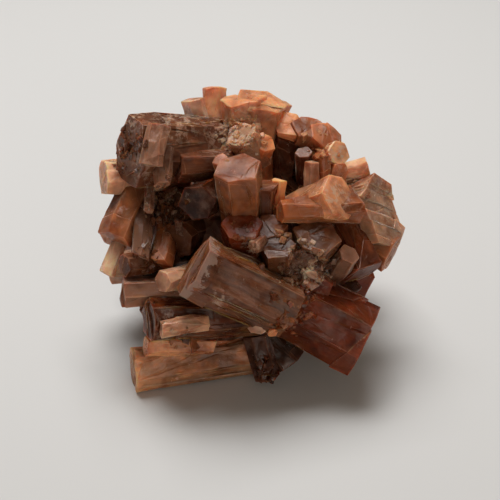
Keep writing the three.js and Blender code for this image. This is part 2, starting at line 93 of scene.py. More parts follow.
# name, middle of the tip, heading in the face, lean toward the front, width, depth, length and
# tone, and where they aren't 0, 1 and 1: roll, root width as a share of the tip's, twin slabs.
CRYSTALS = [
    # upper left
    ("roof_prism", (-23.9, 18.8, 9), 185, 30, 16, 14, 27, "brown", 10, 0.72),
    ("pale_shoulder", (-29.1, 14.1, 3), 184, 26, 8, 7.4, 18, "cream", 20, 0.95),
    ("amber_left", (-26.8, 1.4, 4), 250, 18, 8, 7.4, 18, "amber"),
    ("amber_tip", (-28.2, -4.7, 4), 250, 10, 3.2, 3, 10, "cream", 0, 0.95),
    ("blade_left", (-21.5, -2.3, 9), 268, 34, 4.4, 4.8, 14, "lilac", 20),
    ("sliver_left", (-19.9, 7.3, 10), 268, 30, 2.2, 2.8, 10, "lilac", 0, 0.95),
    ("step_left", (-17.6, -3.1, 7), 262, 36, 6, 6, 14, "amber", 10),
    # left side
    ("block_left", (-25.1, -7.8, 8), 182, 14, 6.2, 6.4, 22, "lilac", 0, 0.95, 2),
    ("knob_left", (-24.6, -3.1, 10), 188, 34, 4.2, 4, 12, "grey", 0, 0.95),
    ("cube_left", (-16.8, -6.3, 13), 195, 46, 4.6, 4.6, 12, "tan", 10),
    ("long_left", (-19.8, -13.5, 11), 180, 22, 8, 8, 28, "liver", 0, 0.95, 2),
    ("long_left_knob", (-17.1, -15.1, 14.2), 188, 20, 3.6, 3.6, 10, "tan", 0, 0.95),
    ("foot_left", (-23.5, -24.1, 1.5), 188, 11, 9.6, 8.8, 28, "pale", 0, 1, 2),
    ("foot_left_lip", (-20.8, -19.1, 5), 180, 14, 4.4, 4.4, 14, "honey"),
    # centre
    ("great_prism", (-11.1, -2.5, 17), 154, 17, 12.8, 12, 22, "umber", 6, 0.95, 3),
    ("front_tower", (-2.5, 15.5, 17), 96, 44, 10, 9.4, 20, "amber", 10, 0.85),
    ("front_low", (-1.3, 5, 14), 95, 50, 8.4, 7.6, 12, "red"),
    ("tower_step", (-6, 17.9, 12), 110, 40, 3.2, 3.2, 10, "amber", 0, 0.95),
    ("tower_column", (2.9, 12.7, 12), 90, 34, 5.4, 5.4, 16, "brown"),
    ("tower_square", (5.6, 13.5, 10.5), 90, 16, 3.6, 3.6, 11, "honey", 30),
    ("tower_grey", (8, 9.9, 9), 92, 30, 3, 3, 12, "lilac"),
    ("dark_end", (-10.2, 9, 12), 212, 62, 7.4, 8, 16, "dark", 10, 0.95),
    ("brown_block", (3.8, 4.6, 13), 95, 50, 6.8, 6.4, 12, "brown"),
    # top
    ("gold_tall", (-7.1, 33, -4), 92, 6, 5.2, 4.8, 15, "pale", 0, 0.95),
    ("gold_left", (-11.3, 30.7, -3), 108, 12, 6, 5.6, 13, "cream"),
    ("crown_left", (-1.4, 30.3, 1), 98, 20, 10.2, 9.6, 17, "honey"),
    ("crown_right", (2.2, 30.1, 1), 82, 34, 10.4, 10, 13, "honey", 20),
    ("crown_knob", (6.3, 30.1, -3), 66, 10, 4.8, 4.6, 12, "pale"),
    ("crown_front", (-1.9, 23, 8), 120, 46, 7.6, 7, 9, "tan"),
    ("ridge_first", (8, 25.7, 1), 84, 56, 7.4, 6.6, 12, "honey"),
    ("ridge_second", (11.7, 25, 1.8), 68, 56, 7.6, 6.4, 12, "amber", 10),
    ("ridge_third", (15.3, 23, 2.2), 48, 54, 7.4, 6.6, 12, "orange"),
    ("fan_upper", (17.7, 19.3, 5), 20, 56, 5.6, 5, 10, "pale"),
    ("fan_lower", (17.9, 15.1, 5), 340, 56, 4.8, 4.4, 10, "orange"),
    ("fan_knob", (23.6, 16.5, -2), 16, 10, 5.4, 5, 14, "cream"),
    ("twin_left", (11.9, 17.4, 7), 92, 12, 3.2, 3.4, 10, "tan", 30),
    ("twin_right", (14.3, 19.2, 6), 90, 12, 3.8, 3.8, 11, "amber", 30),
    ("twin_back", (10.7, 19.5, 4), 96, 50, 3.8, 3.2, 9, "lilac"),
    # right side
    ("bright_point", (5.7, 7.1, 13.5), 188, 20, 4.4, 4.8, 16, "amber", 0, 1.9),
    ("bright_block", (17.3, 10.4, 12), 22, 40, 9.8, 9, 18, "honey", 0, 0.85),
    ("wheel_outer", (27.2, 7.7, 2), 12, 38, 16.4, 13.8, 24, "tan", 8, 0.8, 2),
    ("wheel_lobe", (28.2, -1, 0), 328, 14, 7.8, 7.4, 20, "amber"),
    ("dark_right", (21.7, -5.1, 4), 296, 14, 11.4, 9.2, 15, "liver", 28),
    ("cube_right", (18.8, -0.8, 12), 60, 58, 4.6, 4.4, 12, "lilac", 15),
    # low on the right
    ("grey_block", (5.5, 0.8, 15), 92, 56, 7.4, 6.6, 12, "grey"),
    ("grey_round", (13, 2.7, 13.5), 80, 62, 9.8, 7.8, 14, "grey"),
    ("grey_low", (9.6, -3.1, 13), 268, 70, 8.6, 6.8, 12, "grey"),
    ("white_low", (11.7, -5.4, 13), 270, 52, 3.6, 3.6, 10, "cream", 30),
    ("red_prism", (22.7, -17.8, 6), 332, -2, 15.6, 13.6, 27, "red", 0, 0.94),
    ("red_lip", (22.8, -11.2, 5), 333, 4, 4, 5, 22, "red", 0, 0.95),
    ("red_knob", (18.2, -10.7, 9), 330, 40, 1.8, 1.8, 6, "pale", 0, 0.95),
    # feet
    ("foot_front", (3.6, -25.6, 0), 284, -8, 5.6, 5.2, 9, "dark", 0, 0.95),
    ("foot_dark", (7.9, -23.4, -3), 304, 0, 7.4, 6.6, 16, "dark", 0, 0.95),
    # small ends low on the front
    ("glint", (0.4, 0.4, 16), 210, 44, 3, 3, 8, "lilac", 0, 0.95),
    ("knob_low_a", (1.3, -15.3, 13), 262, 50, 3.6, 3.2, 9, "tan"),
    ("knob_low_b", (4.2, -16.1, 13), 275, 40, 2.6, 2.6, 8, "orange", 0, 0.95),
    ("rusty_front", (12.7, -7.7, 12), 285, 66, 6.8, 6.6, 12, "red"),
    # wide ends that fill the middle
    ("mass_middle", (4.7, 1.9, 9), 90, 80, 15, 13, 14, "dark", 20),
    ("mass_right", (13.2, -2.3, 8), 320, 70, 12, 11, 14, "grey"),
    # plates broken off the upper left prism
    ("roof_plate", (-18.7, 15.8, 14.4), 262, 10, 5.4, 2.6, 8.4, "lilac", 0, 0.9),
    ("roof_plate_low", (-16.9, 12.1, 12), 268, 20, 4, 2.6, 8, "lilac", 0, 1.1),
    ("roof_slab", (-14.2, 16, 8.2), 187, 22, 6.6, 6, 16, "brown"),
    # crystals in the hollows, and behind the gaps
    ("hollow_upper", (-15.4, 8.9, 3), 168, 50, 8.4, 8, 16, "grey"),
    ("hollow_lower", (-14.1, 2, 6), 205, 56, 7.4, 7, 16, "grey", 20),
    ("hollow_side", (-19.1, 7.2, 1), 172, 30, 9.4, 9, 16, "grey"),
    ("crown_lobe", (3.1, 21.2, 6), 60, 50, 5, 5, 12, "honey"),
    # cave_floor and cave_side have the dark tone partly as painted shade: they make the shaded hole
    # below the ridge crystals
    ("cave_floor", (9.7, 14.1, -3), 60, 60, 9, 8.6, 10, "dark"),
    ("cave_side", (8.2, 23, -0.5), 80, 30, 7, 6, 12, "dark"),
    ("cave_right", (17.4, 14.7, 3), 40, 36, 6.4, 6, 14, "orange"),
    ("hollow_low", (-12.7, -18.6, 3), 192, 26, 6, 6, 16, "amber", 0, 0.95),
    ("hollow_right", (18.7, 4.3, 4), 20, 40, 8, 8, 14, "dark", 0, 0.95),
    ("fill_upper", (-22.6, 9.5, -3), 160, 4, 11, 10, 20, "dark"),
    ("fill_middle", (-22.6, -7.2, 2), 196, 2, 8.6, 9, 20, "dark"),
    ("fill_lower", (-20.3, -17.9, 2), 192, 4, 8, 8.4, 20, "dark"),
    ("fill_right", (20.4, -10, 0), 318, 4, 8, 8, 18, "dark"),
    # rear
    ("rear_great", (16.1, 7.5, -27.7), 22, -50, 16.6, 15.2, 22, "tan", 8, 1, 2),
    ("rear_upper", (-7.5, 19.6, -25.1), 112, -42, 14, 13, 22, "orange", 0, 1, 2),
    ("rear_left", (-22.4, 4.2, -23.5), 172, -36, 15, 13.6, 22, "brown", 12),
    ("rear_middle", (-6.3, -0.8, -33.2), 196, -76, 14.6, 14, 20, "tan"),
    ("rear_right", (23.5, -6.6, -21.2), 342, -30, 12.6, 12, 22, "red", 20),
    ("rear_foot", (7.9, -7.8, -27.4), 312, -60, 13.6, 12.4, 20, "brown"),
    ("rear_low", (-10.5, -9.9, -25.1), 226, -50, 13, 12, 20, "orange", 5),
    # edge of the rear, and underneath
    ("side_right", (27.2, 6.8, -18.2), 12, -22, 8.2, 7.6, 20, "orange"),
    ("side_left", (-29.1, -4.1, -12.2), 190, -10, 7.4, 7.2, 20, "tan", 10),
    ("crown_rear", (5.8, 24.3, -23.2), 76, -34, 9.6, 9, 20, "pale"),
    ("crown_side", (18.2, 21.3, -16.9), 48, -20, 7, 7, 18, "tan"),
    ("ridge_left", (-6.2, 27.9, -14.4), 103, -15, 8.6, 8, 18, "orange", 0, 0.9),
    ("ridge_right", (6.6, 27.4, -13.8), 76, -14, 9.6, 8.8, 18, "amber", 0, 0.95, 2),
    ("back_high", (1.9, 11.8, -31.7), 80, -66, 10.4, 10, 18, "red"),
    ("back_left", (-10.5, 8.1, -30.8), 146, -62, 9.4, 9, 18, "lilac"),
    ("back_right", (9.6, -0.4, -31.1), 352, -68, 9, 8.6, 18, "lilac"),
    ("low_left", (-21.5, -13.5, -17.5), 214, -22, 8, 7.6, 20, "brown"),
    ("low_right", (20.5, -13.9, -14.7), 324, -17, 7.6, 7.2, 20, "tan"),
    ("under_front", (-2.6, -17.8, -13.2), 262, -18, 7, 7, 14, "dark"),
    ("under_middle", (0.4, -11.8, -22.3), 272, -50, 8.6, 8.2, 14, "brown"),
    ("under_rear", (-0.7, -4.1, -31.5), 262, -78, 8.8, 8.2, 16, "brown"),
    ("shoulder_rear", (-18.7, 20.3, -17.9), 134, -22, 7.2, 7, 18, "orange"),
]

# A row as it is built: numbered, and with one direction instead of its heading and lean.
FIELDS = "seed tip along wide deep long tone roll root slabs"
Crystal = namedtuple("Crystal", FIELDS, defaults=(0, 1, 1))

# The aragonite's tones, as linear colours. Each crystal has one.
TONES = {
    "cream": (0.86, 0.53, 0.355),
    "pale": (0.76, 0.375, 0.195),
    "honey": (0.80, 0.325, 0.145),
    "orange": (0.52, 0.180, 0.075),
    "amber": (0.36, 0.125, 0.048),
    "tan": (0.50, 0.280, 0.175),
    "lilac": (0.22, 0.118, 0.080),
    "grey": (0.114, 0.037, 0.013),
    "umber": (0.168, 0.049, 0.014),
    "brown": (0.165, 0.055, 0.024),
    "red": (0.205, 0.032, 0.006),
    "liver": (0.118, 0.025, 0.005),
    "dark": (0.056, 0.015, 0.005),
}
RIM_TONE = (0.42, 0.235, 0.150)  # what the worn edges tend to
SHEEN_PLATED_TONES = ("umber",)  # tones of crystals with lilac plates round the end, their lilac partly a painted sheen
STREAKED = {"umber": 1.5, "liver": 1.0, "brown": 1.0, "red": 0.8}  # how plainly, by tone
STREAKED_LEAST = 0.1  # in the other tones
PLATE_TONE = (0.21, 0.098, 0.060)  # what the outer plates tend to
HEART_TONE = (0.20, 0.095, 0.060)  # the rough middle between the crystals
TONE_SPREAD = 0.18  # how much lighter or darker than its tone a crystal may be
WARMTH_SPREAD = 0.10  # and how much less or more red
PIECE_LIGHT = (0.92, 1.08)  # darkest and lightest piece of a crystal
PLATE_LIGHT = 1.07  # outer plates beside the whole crystal
CORE_LIGHT = 0.95  # and what their breaks have laid bare
PLATE_SHARE = 0.25  # most that a plate has of the plate tone
RIM_PATCH = 2.0  # millimetres over which wear comes and goes
RIM_STEEP = 1.8  # how abruptly
RIM_SPARED = 0.55  # how much of the edges is spared
RIM_MOST = 0.8  # most wear
RIM_LIGHTER = 0.5  # how much lighter full wear makes an edge
RIM_SHARE = 0.4  # and how much of the rim tone it has then

# ---------- broken crystals, in millimetres
LAMINA = 2.3  # usual thickness of the laminae of twinned crystals
LAMINAE_MOST = 4  # in one slab
LAMINA_PARTS = (0.5, 1.5)  # thinnest and thickest beside the usual one
LAMINA_OVERLAP = 0.06  # how far a lamina reaches past the cut on either side
LAMINA_SLIDE = 0.028  # how far a lamina's side may lie inside, in crystal widths
LAMINA_DROP = 0.025  # how far it may stop short of the end, in crystal widths
CORE_SHARE = 0.972  # the core of a lamina, where its outer plates have broken off
CORE_DROP = 0.22  # how far the core stops short of the end
CORE_BREAK = 0.12  # and of a flat break
FULL_WIDTH = 8  # in crystals narrower than this it stops less short
PLATES = 2  # outer plates left on each lamina
PLATE_AT_END = (0.04, 0.30)  # a plate at the end reaches this far down, in crystal lengths
PLATE_BELOW = (0.1, 0.6)  # and any other starts this far down
PLATE_LEAN = 0.7  # radians, either way, that its first break leans
PLATE_ASKEW = 0.6  # share of that lean that its second break has
PLATE_REACH = (-0.4, 0.6)  # how far from the axis the second passes, in shares of its reach
RIM = 0.12  # width of the worn edges
RIM_CLOSE = 0.30  # corners nearer than this are one
FLAT = 0.03  # radians; faces that meet flatter than this are one
SMALLEST = 0.02  # cubic millimetres; smaller pieces are left out
SWELLS = ((6.0, 0.60), (2.4, 0.30), (1.1, 0.16))  # width and swing of the skin's unevenness
SWELLS_FULL = 3  # height from which it also goes up and down in full

# Flat breaks across a crystal: how many, least and greatest tilt of each from square to the
# axis in degrees, and how far out from its axis they pass, as shares of its reach.
BREAKS = {
    "end": (2, 2, 7, 0.3, 0.8),
    "edge": (3, 36, 60, 1.0, 1.14),
    "side": (2, 86, 94, 1.0, 1.08),
}

# ---------- the small crystals, in millimetres
CREVICE_WIDTH = (0.5, 1.5)  # narrowest and widest in the crevices
CREVICE_COUNT = 420
PATCH_WIDTH = (0.4, 1.35)  # and in the patches
CRUST_DEPTH = (0.55, 1.0)  # least and most, in their widths
CRUST_LENGTH = (0.8, 2.0)
CRUST_LEAN = 0.6  # how far they lean from square to the skin
CRUST_ASKEW = 0.32  # how far their corners stray, in half widths
CRUST_LIGHT = (0.8, 1.05)  # darkest and lightest beside their tone
HOST_SHARE = 0.45  # how much of their colour is their host crystal's
SUNK = 0.45  # how deep they sit in the skin, in their widths
CRUST_ABOVE = 2  # none start lower than this over the table
CRUST_FROM = 0.35  # least share of the view that is shut in round those in crevices
CRUST_EVEN = 0.7  # lower spreads these more evenly
CRUST_OPEN = 0.15  # how likely those in patches are where nothing is shut in
CREVICE_TONES = ("dark", "liver", "umber", "grey")

# Patches of them on the face: middle in the face, radius, count and tones.
CRUST_PATCHES = (
    ((7.5, -11.3), 4.6, 240, ("amber", "red", "brown", "orange")),  # between the two low prisms
    ((-1.4, 22.2), 4.8, 190, ("cream", "cream", "pale")),  # below the crown
    ((-16.2, 8.5), 4.2, 120, ("lilac", "tan", "umber")),  # left hollow
    ((10.6, -3.8), 4.8, 150, ("tan", "cream", "lilac")),  # grey ends on the right
    ((-24.0, 19.5), 3.9, 100, ("dark", "dark", "brown")),  # end of the roof prism
    ((6.6, 2.4), 1.3, 18, ("pale", "tan")),  # top of the grey block
    ((-1.5, 3.5), 2.2, 16, ("lilac", "amber")),  # foot of the tower
    ((4.0, -24.5), 3.0, 26, ("dark", "brown")),  # front foot
    ((14.0, 21.0), 3.4, 34, ("orange", "amber", "pale")),  # ridge
    ((-21.0, -1.0), 3.0, 30, ("grey", "lilac", "brown")),  # left side
    ((-14.0, -16.5), 3.2, 30, ("lilac", "umber")),  # long prism on the left
)

# Bruised and frosted places on the face, some with painted highlights and glints: middle in the face,
# radius and strength.
SCUFFS_AND_HIGHLIGHTS = (
    ((-24.0, 26.0), 3.4, 0.9),  # frost and a painted highlight on the near corner of the roof prism
    ((-14.0, 26.0), 5.0, 0.7),  # frost and a painted highlight along its top
    ((-3.0, 23.0), 5.2, 1.0),  # below the crown
    ((-20.4, 15.5), 3.0, 0.4),  # plates on the roof prism's end
    ((15.5, 10.5), 3.4, 0.8),  # bright block
    ((17.8, 19.0), 3.4, 1.0),  # upper fan
    ((-5.5, -9.0), 1.8, 0.7),  # great prism
    ((0.3, 0.6), 2.0, 1.0),  # painted glints on the glassy end beside it
    ((11.5, -5.0), 4.0, 0.5),  # grey ends
    ((28.0, 10.0), 8.0, 0.5),  # wheel
    ((-16.0, -15.0), 3.4, 0.45),  # long prism on the left
    ((-23.4, -24.0), 3.4, 0.6),  # tip of the foot
)
SCUFFS_AND_HIGHLIGHTS_BACK = -4  # none farther back
SPOT_FADE = 1.3  # patches and scuffs fade out at this many radii

# ---------- the stone
# The values that are the same all over.
WAXY = {
    "IOR": 1.5,
    "Specular IOR Level": 0.18,
    "Subsurface Weight": 0.75,
    "Subsurface Radius": (1.0, 0.40, 0.22),
    "Subsurface Scale": 1.9 * MM,
    "Transmission Weight": 0.22,
}
# Noises: shift in millimetres, scale per millimetre, detail and roughness.
NOISES = {
    "cloud": ((0, 0, 0), 0.18, 3.0, 0.6),
    "glow": ((40, 0, 0), 0.24, 3.0, 0.55),
    "blotch": ((0, 0, 0), 0.5, 6.0, 0.68),
    "speck": ((0, 0, 0), 2.4, 4.0, 0.7),
    "veil": ((0, 60, 0), 0.42, 5.0, 0.62),
    "scratch": ((0, 0, 0), 0.8, 8.0, 0.66),
}
# Noises along the grain: stretch across, over and along the crystal, and the rest as above.
GRAIN_NOISES = {
    "fine": ((2.6, 2.6, 0.06), 1.0, 3.0, 0.6),
    "broad": ((0.7, 0.7, 0.05), 1.0, 2.0, 0.5),
}
THIN_LINES = 0.2  # how much the streaks lighten and darken
WIDE_LINES = 0.16
RELIEF = 0.15 * MM  # depth of the pits and fine lines
SHEEN_PLATES_RAGGED = 2.0  # millimetres, up or down, that the edges of the lilac plates and their painted sheen stray

# Spans: a value is taken from the first two numbers to the last two, or to 0 and 1, and clamped.
DARKER_BELOW = (1.0, 17.0, 1.06, 0.78)  # lightness by millimetres below the tip
CLOUDS = ("cloud", 0.55, 0.35)
GLOW = ("glow", 0.50, 0.68, 0.0, 0.6)
THROUGH = ("thin", 0.25, 0.80, 0.0, 0.8)
PLAIN = ("streaked", 0.1, 1.0, 1.0, 0.3)  # less on streaked crystals
FROST = (("blotch", 0.64, 0.70), ("speck", 0.42, 0.6, 0.0, 0.6), PLAIN)
FROST_DULL = 0.3  # how much rougher frost is
DULLNESS = (0.35, 0.65, 0.09, 0.26)  # roughness
GLANCING = (0.6, 1.0, 0.0, 0.45)  # and more of it, seen at a glancing angle
CRUST_SPECK = (1.6, 4.0, 0.7)  # the small crystals' noise: scale, detail and roughness
CRUST_SPECKLE = (0.3, 0.7, 0.7, 1.3)  # lightness
CRUST_HIDDEN = (0.6, 1.0, 0.0, 0.3)  # painted shade, by how shut in
CRUST_DULLNESS = (0.3, 0.7, 0.15, 0.4)  # roughness

# Linear colours.
DEEPER = (0.50, 0.38, 0.34)  # what a clouded place leaves of the tone
BRIGHTER = (2.1, 1.9, 1.7)  # what passing light makes of it
# pale colour of bruises, frost and rubbed edges, and of the painted highlights and glints
SCUFF_AND_HIGHLIGHT = (0.74, 0.52, 0.38)
# painted shade, laid in the crevices of the skin and in the hollows among the small crystals
PAINTED_SHADE = (0.012, 0.005, 0.003)
# What covers them, in turn: the colour, and the spans whose product is its share.
COVERS = (
    ((0.34, 0.185, 0.125), ("veil", 0.50, 0.70, 0.0, 0.42), PLAIN),  # milky places
    ((0.40, 0.250, 0.190), ("sheen_plated", 0, 1), ("ragged", 2.3, 2.1, 0.0, 0.9)),  # lilac plates, their lilac partly a painted sheen
    (SCUFF_AND_HIGHLIGHT, *FROST),  # frosted patches
    (SCUFF_AND_HIGHLIGHT, ("scuff_and_highlight", 0, 1), ("scratch", 0.50, 0.56, 0.0, 0.85)),  # bruises, and painted highlights and glints
    (SCUFF_AND_HIGHLIGHT, ("thin", 0.60, 0.90), ("speck", 0.54, 0.62, 0.0, 0.5)),  # rubbed edges
    # painted shade, deepest where the skin is most shut in
    (PAINTED_SHADE, ("crevice", 0.5, 1.0, 0.0, 0.4)),
    ((0.40, 0.26, 0.18), ("crevice", 0.3, 0.6), ("speck", 0.60, 0.68, 0.0, 0.25)),  # dry clay
)

# ---------- painting on the skin
LONGEST_EDGE = 1.0 * MM  # in the skin, so that paint on its points is fine enough
SPLITS_MOST = 4  # times that an edge is halved to get there
SIGHT_LINES = 18  # how many directions are looked along
SIGHT_START = 0.05 * MM  # how far off the skin they start
SIGHT_REACH = 7 * MM  # stone farther off than this shuts nothing in
SIGHT_LEAST = 0.15  # lines flatter to the skin than this sine are left out
GRAIN_SHIFT = 5.3  # millimetres between the grains of one crystal and the next
END_FACING = 0.8  # faces turned along the crystal more than this cosine are its end

# ---------- picture, in metres, millimetres of film and watts
SHARP_ANGLE = 22  # degrees; edges sharper than this are shaded as edges
TABLE_SIDE = 0.2  # of the block that cuts the cluster off at the table
FLOOR_REACH = 3.0
FLOOR_COLOUR = (0.655, 0.656, 0.646)
CAMERA_DISTANCE = 0.300
CAMERA_LENS = 108
CAMERA_SENSOR = 36
CAMERA_NEAREST = 0.01
LIGHTS_AIM = (0, 0, 0.02)
LIGHTS = (  # name, place, side, power and colour
    ("soft_box", (-0.05, 0.14, 0.46), 0.30, 2.4, (1.0, 0.99, 0.985)),
    ("front_fill", (0.16, -0.48, 0.14), 0.24, 0.56, (1.0, 0.92, 0.82)),
)
ROOM_COLOUR = (0.95, 0.80, 0.65)
ROOM_STRENGTH = 0.13


# ---------- repeatable values
def chance(a, b):
    """A repeatable value from 0 to 1 for two whole numbers."""
    wave = math.sin(a * 12.9898 + b * 78.233) * 43758.5453
    return wave - math.floor(wave)


def stray(a, b):
    """The same from -0.5 to 0.5."""
    return chance(a, b) - 0.5


def spiral_direction(index, count):
    """Direction `index` of `count` spread evenly over a ball."""
    rise = 1 - 2 * (index + 0.5) / count
    turn = index * math.pi * (3 - math.sqrt(5))
    level = math.sqrt(1 - rise * rise)
    return np.array([math.cos(turn) * level, math.sin(turn) * level, rise])


def ripple(points, size, seed):
    """Smooth repeatable noise from 0 to 1: seven waves, each about `size` wide."""
    rng = np.random.default_rng(seed)
    total = np.zeros(len(points))
    for _ in range(7):
        wave = rng.normal(size=points.shape[1])
        wave *= math.pi / (size * np.linalg.norm(wave))
        total += np.sin(points @ wave * rng.uniform(0.6, 1.7) + rng.uniform(0, 2 * math.pi))
    return np.clip(0.5 + total / 6.4, 0, 1)


# ---------- crystal outlines
def six_corners(c):
    """A crystal's outline across its axis, a slightly uneven hexagon."""
    corners = []
    for k in range(6):
        angle = math.radians(60 * k + stray(c.seed, k + 40) * CORNER_TURN + c.roll)
        reach = CORNER_REACH + CORNER_REACH_SPREAD * chance(c.seed, k + 50)
        corners.append((c.wide / 2 * reach * math.cos(angle), c.deep / 2 * reach * math.sin(angle)))
    return np.array(corners)


def keep_below(outline, normal, limit):
    """The part of a convex outline that lies on the low side of a straight cut."""
    kept = []
    for here, after in zip(outline, np.roll(outline, -1, axis=0)):
        a = here @ normal - limit
        b = after @ normal - limit
        if a <= 0:
            kept.append(here)
        if (a < 0) != (b < 0):
            kept.append(here + (after - here) * a / (a - b))
    return np.array(kept).reshape(-1, 2)


def end_slope(seed, index):
    """How an end slopes across the outline, as rise over run."""
    return np.array([stray(seed, index + 60), stray(seed, index + 70)]) * END_SLOPE


def twin_slabs(c):
    """The crystal's parallel twin slabs: outline, how far each stops short, and its end's slope."""
    outline = six_corners(c)
    if c.slabs == 1:
        return [(outline, 0.0, end_slope(c.seed, 0))]
    face = math.floor(chance(c.seed, 1) * 3)
    angle = math.radians(60 * face + 30 + c.roll) + stray(c.seed, 2) * SLAB_TURN
    normal = np.array([math.cos(angle), math.sin(angle)])
    sideways = np.array([-normal[1], normal[0]])
    reach = np.abs(outline @ normal).max()
    cuts = [-2 * reach]
    for k in range(1, c.slabs):
        cuts.append(reach * (-1 + (2 * k + stray(c.seed, k + 4) * SLAB_SPREAD) / c.slabs))
    cuts.append(2 * reach)
    slabs = []
    for k in range(c.slabs):
        slab = keep_below(outline, normal, cuts[k + 1] + SLAB_OVERLAP / 2)
        slab = keep_below(slab, -normal, -cuts[k] + SLAB_OVERLAP / 2)
        if len(slab) < 3:
            continue
        step = stray(c.seed, k + 30) * SIDE_STEP * c.wide
        drop = chance(c.seed, k + 20) * END_STEP * c.wide
        slabs.append((slab + sideways * step, drop, end_slope(c.seed, k)))
    return slabs


def listed_crystals():
    """The crystals of the list, pointing where their heading and lean say."""
    found = []
    for number, (_, tip, heading, lean, *rest) in enumerate(CRYSTALS, start=1):
        level = math.cos(math.radians(lean))
        turn = math.radians(heading)
        along = (math.cos(turn) * level, math.sin(turn) * level, math.sin(math.radians(lean)))
        found.append(Crystal(number, np.array(tip), np.array(along), *rest))
    return found


# ---------- places
def axes_of(c):
    """The directions across, over and along a crystal."""
    across = np.array([-c.along[1], c.along[0], 0.0])
    across /= np.linalg.norm(across)
    return across, np.cross(c.along, across), c.along


def place(c, corner, below):
    """Points of a crystal in the front frame, from places in its outline and depths below the tip."""
    across, over, along = axes_of(c)
    scale = (1 + (c.root - 1) * below / c.long)[:, None]
    sideways = np.outer(corner[:, 0], across) + np.outer(corner[:, 1], over)
    return c.tip - np.outer(below, along) + sideways * scale


def slab_corners(c, outline, drop, slope):
    """The corners of one slab in the front frame, those of its end first."""
    end = place(c, outline, drop + outline @ slope)
    return np.concatenate([end, place(c, outline, np.full(len(outline), float(c.long)))])


def settled(points):
    """Turns points of the front frame into the resting frame, still in millimetres."""
    turn = math.radians(90 - FRONT_ELEVATION)
    x, y, z = np.asarray(points, dtype=float).reshape(-1, 3).T
    level = y * math.cos(turn) - z * math.sin(turn)
    height = y * math.sin(turn) + z * math.cos(turn) + FLOOR_DROP
    return np.stack([x, level, height], axis=1)


def turned(directions):
    """Turns directions of the front frame into the resting frame."""
    return settled(directions) - settled([0, 0, 0])


crystals = listed_crystals()
cad_corners = [slab_corners(c, *slab) for c in crystals for slab in twin_slabs(c)]
reached = settled(np.concatenate(cad_corners))
middle = (reached.min(axis=0) + reached.max(axis=0)) / 2
middle[2] = 0


def to_world(points):
    """Front frame in millimetres to the shared frame in metres."""
    return (settled(points) - middle) * MM


def front_place(points):
    """Shared frame in metres to the front frame in millimetres."""
    origin, *ends = to_world([[0, 0, 0], [1, 0, 0], [0, 1, 0], [0, 0, 1]])
    return (points - origin) @ (np.array(ends) - origin).T / (MM * MM)


# ---------- broken crystal bodies
def hull_mesh(points):
    """The convex body round some points."""
    bm = bmesh.new()
    for point in points:
        bm.verts.new(point.tolist())
    bmesh.ops.convex_hull(bm, input=bm.verts)
    inner = [vertex for vertex in bm.verts if not vertex.link_faces]
    bmesh.ops.delete(bm, geom=inner, context="VERTS")
    return bm


def cut_off(corners, through, normal):
    """The corners of a convex body without what lies beyond a plane."""
    height = (corners - through) @ normal
    kept, gone = corners[height <= 0], corners[height > 0]
    if len(gone) == 0 or len(kept) < 2:
        return kept
    low, high = height[height <= 0][:, None], height[height > 0][None, :]
    share = (low / (low - high))[..., None]
    crossing = kept[:, None, :] + (gone[None, :, :] - kept[:, None, :]) * share
    bm = hull_mesh(np.concatenate([kept, crossing.reshape(-1, 3)]))
    left = np.array([vertex.co[:] for vertex in bm.verts])
    bm.free()
    return left


def apart(points, gap):
    """The points without those that lie nearer than the gap to one before them."""
    kept = []
    while len(points):
        kept.append(points[0])
        points = points[np.linalg.norm(points - points[0], axis=1) > gap]
    return np.array(kept)


def laminae(c, outline, drop, rng):
    """Splits one twin slab into thinner laminae: the outline of each, and how far it stops short."""
    angle = math.radians(30 + c.roll) + math.pi / 3 * math.floor(chance(c.seed, 1) * 3)
    normal = np.array([math.cos(angle), math.sin(angle)])
    heights = outline @ normal
    low, high = heights.min(), heights.max()
    count = int(np.clip(round((high - low) / LAMINA), 1, LAMINAE_MOST)) if c.slabs > 1 else 1
    shares = np.cumsum(rng.uniform(*LAMINA_PARTS, count))
    cuts = low + (high - low) * np.concatenate([[0.0], shares / shares[-1]])
    centre = outline.mean(axis=0)
    for k in range(count):
        layer = keep_below(outline, normal, cuts[k + 1] + LAMINA_OVERLAP)
        layer = keep_below(layer, -normal, -cuts[k] + LAMINA_OVERLAP)
        if len(layer) < 3:
            continue
        layer = centre + (layer - centre) * (1 - LAMINA_SLIDE * rng.uniform(0, 2))
        yield layer, drop + LAMINA_DROP * c.wide * rng.uniform(0, 1)


def some_side(rng, across, over):
    """A random direction square to a crystal's axis."""
    turn = rng.uniform(0, 2 * math.pi)
    return math.cos(turn) * across + math.sin(turn) * over


def break_planes(c, rng, reach):
    """Flat breaks that cross the whole crystal, as a point and a direction each."""
    across, over, along = axes_of(c)
    planes = []
    for count, least, most, inner, outer in BREAKS.values():
        for _ in range(count):
            tilt = math.radians(rng.uniform(least, most))
            sideways = some_side(rng, across, over)
            through = c.tip + sideways * reach * rng.uniform(inner, outer)
            planes.append((through, sideways * math.sin(tilt) + along * math.cos(tilt)))
    return planes


def plate_planes(c, rng, reach):
    """Two breaks that leave only one outer plate of a lamina: one across it and one askew."""
    across, over, along = axes_of(c)
    at_end = rng.random() < 0.5
    depth = c.long * rng.uniform(*(PLATE_AT_END if at_end else PLATE_BELOW))
    sideways = some_side(rng, across, over)
    lean = rng.uniform(-PLATE_LEAN, PLATE_LEAN)
    facing = -along if at_end else along
    first = facing * math.cos(lean) + sideways * math.sin(lean)
    second = sideways * math.cos(lean * PLATE_ASKEW) + along * math.sin(lean * PLATE_ASKEW)
    through = c.tip - along * depth
    return [(through, first), (through + sideways * reach * rng.uniform(*PLATE_REACH), second)]


